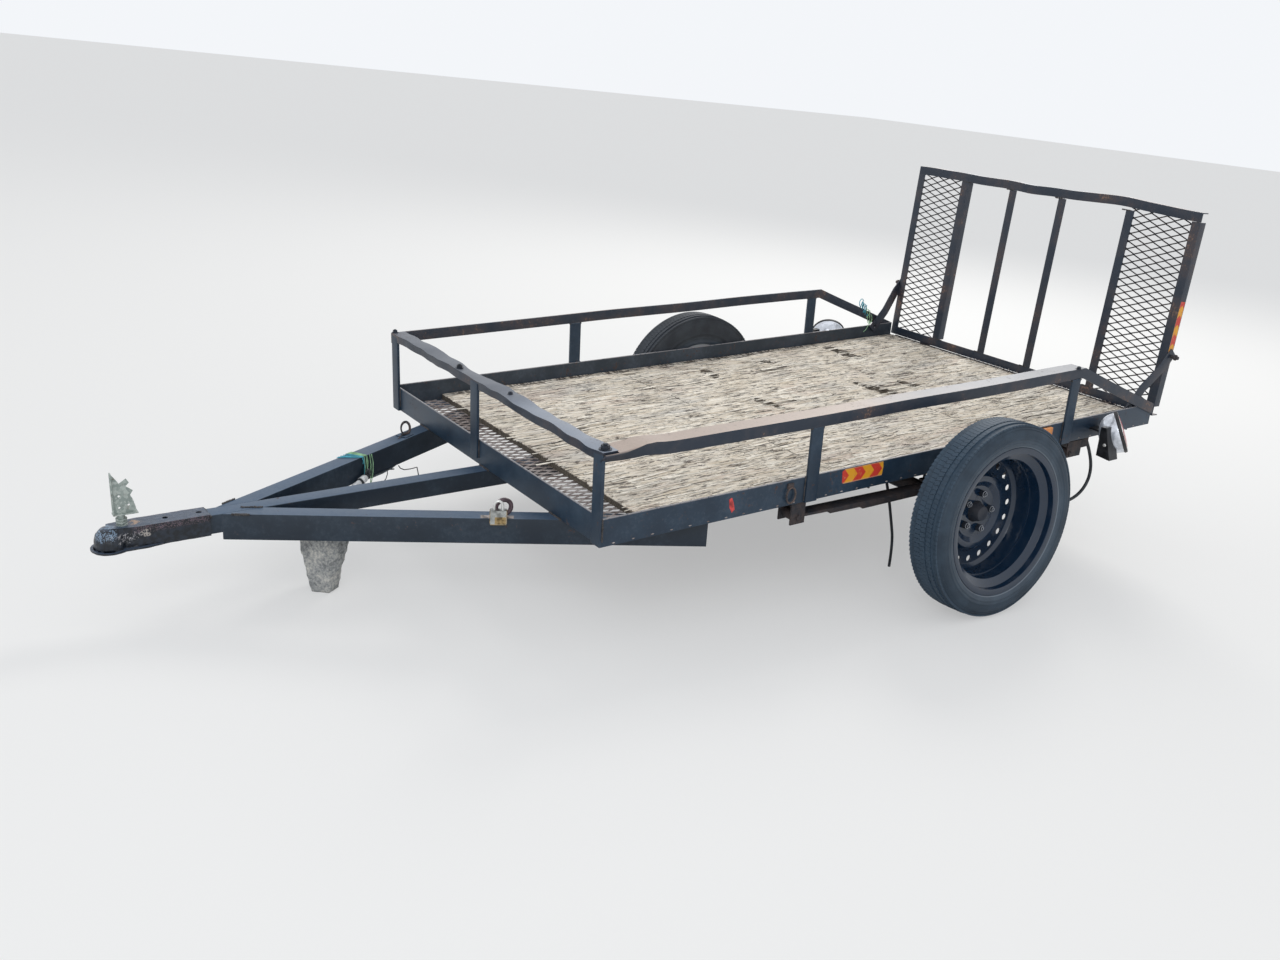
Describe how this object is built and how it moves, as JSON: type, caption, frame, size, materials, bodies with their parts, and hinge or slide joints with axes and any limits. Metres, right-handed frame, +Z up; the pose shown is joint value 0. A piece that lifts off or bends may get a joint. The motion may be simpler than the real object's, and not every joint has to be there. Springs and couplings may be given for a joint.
{
  "type": "utility trailer",
  "caption": "Small home-made utility trailer with a plywood deck, low rail, A-frame tongue resting on a prop, sprung axle and a rear ramp gate with braces.",
  "frame": {"origin": "middle of the base of the bounding box, on the ground", "axes": "+Z up, -Y towards the coupler, +Y towards the ramp gate, +X to the trailer's left side"},
  "size_m": [1.6762, 3.3824, 1.1858],
  "materials": {
    "frame_paint": "satin, weathered",
    "rail_paint": "satin, worn to rust",
    "deck_wood": "weathered plywood",
    "mesh_steel": "expanded metal, rusty",
    "latch_zinc": "galvanised",
    "tyre": "dusty",
    "black_rim": "gloss",
    "silver_rim": "silver paint",
    "hub_steel": "rusty",
    "axle_paint": "dull",
    "spring_steel": "rusty",
    "lamp": "lens and shell",
    "marker": "amber lens",
    "stone": "rough",
    "wire": "matt"
  },
  "bodies": {
    "chassis": {"axle": "axle_paint", "cable_glands": "wire", "cable_rear": "wire", "coupler": "frame_paint", "coupler_latch": "latch_zinc", "cross_members": "frame_paint", "deck_front": "deck_wood", "deck_mesh": "mesh_steel", "deck_middle": "deck_wood", "deck_rear": "deck_wood", "gate_hinge_pins": "rail_paint", "hanger_front_left": "spring_steel", "hanger_front_right": "spring_steel", "hanger_rear_left": "spring_steel", "hanger_rear_right": "spring_steel", "hose_front": "wire", "marker_lamp_left": "marker", "marker_lamp_right": "marker", "post_front_left": "rail_paint", "post_front_middle": "rail_paint", "post_front_right": "rail_paint", "post_middle_left": "rail_paint", "post_middle_right": "rail_paint", "post_rear_left": "rail_paint", "post_rear_right": "rail_paint", "prop_stone": "stone", "rail_front": "frame_paint", "rail_left": "frame_paint", "rail_rear": "frame_paint", "rail_right": "frame_paint", "shackle_left": "spring_steel", "shackle_right": "spring_steel", "spring_clamp_left": "spring_steel", "spring_clamp_right": "spring_steel", "spring_left": "spring_steel", "spring_right": "spring_steel", "tail_lamp_left": "lamp", "tail_lamp_right": "lamp", "tongue_left": "frame_paint", "tongue_middle": "frame_paint", "tongue_right": "frame_paint", "top_bar_front": "rail_paint", "top_bar_left": "rail_paint", "top_bar_right": "rail_paint"},
    "gate": {"brace_studs": "rail_paint", "gate_bar_bottom": "rail_paint", "gate_bar_top": "rail_paint", "gate_mesh_left": "mesh_steel", "gate_mesh_right": "mesh_steel", "gate_uprights": "rail_paint"},
    "brace_left": {"brace_left": "rail_paint"},
    "brace_right": {"brace_right": "rail_paint"},
    "wheel_left": {"hub_left": "hub_steel", "rim_left": "black_rim", "tyre_left": "tyre"},
    "wheel_right": {"hub_right": "hub_steel", "rim_right": "silver_rim", "tyre_right": "tyre"}
  },
  "joints": [
    {"name": "wheel_left_spin", "type": "hinge", "parent": "chassis", "child": "wheel_left", "pos_m": [0.75987, 0.6307, 0.2977], "axis": [0.998, -0.0042, 0.0627], "continuous": true},
    {"name": "wheel_right_spin", "type": "hinge", "parent": "chassis", "child": "wheel_right", "pos_m": [-0.75913, 0.6313, 0.28865], "axis": [-0.9997, -0.0016, 0.0244], "continuous": true},
    {"name": "gate_hinge", "type": "hinge", "parent": "chassis", "child": "gate", "pos_m": [-0.06313, 1.66316, 0.4457], "axis": [-1, 0, 0], "range_deg": [0, 125]},
    {"name": "brace_left_swing", "type": "hinge", "parent": "gate", "child": "brace_left", "pos_m": [0.57287, 1.66448, 0.69769], "axis": [-1, 0, 0], "range_deg": [0, 100]},
    {"name": "brace_right_swing", "type": "hinge", "parent": "gate", "child": "brace_right", "pos_m": [-0.69913, 1.66448, 0.69769], "axis": [-1, 0, 0], "range_deg": [0, 100]}
  ]
}
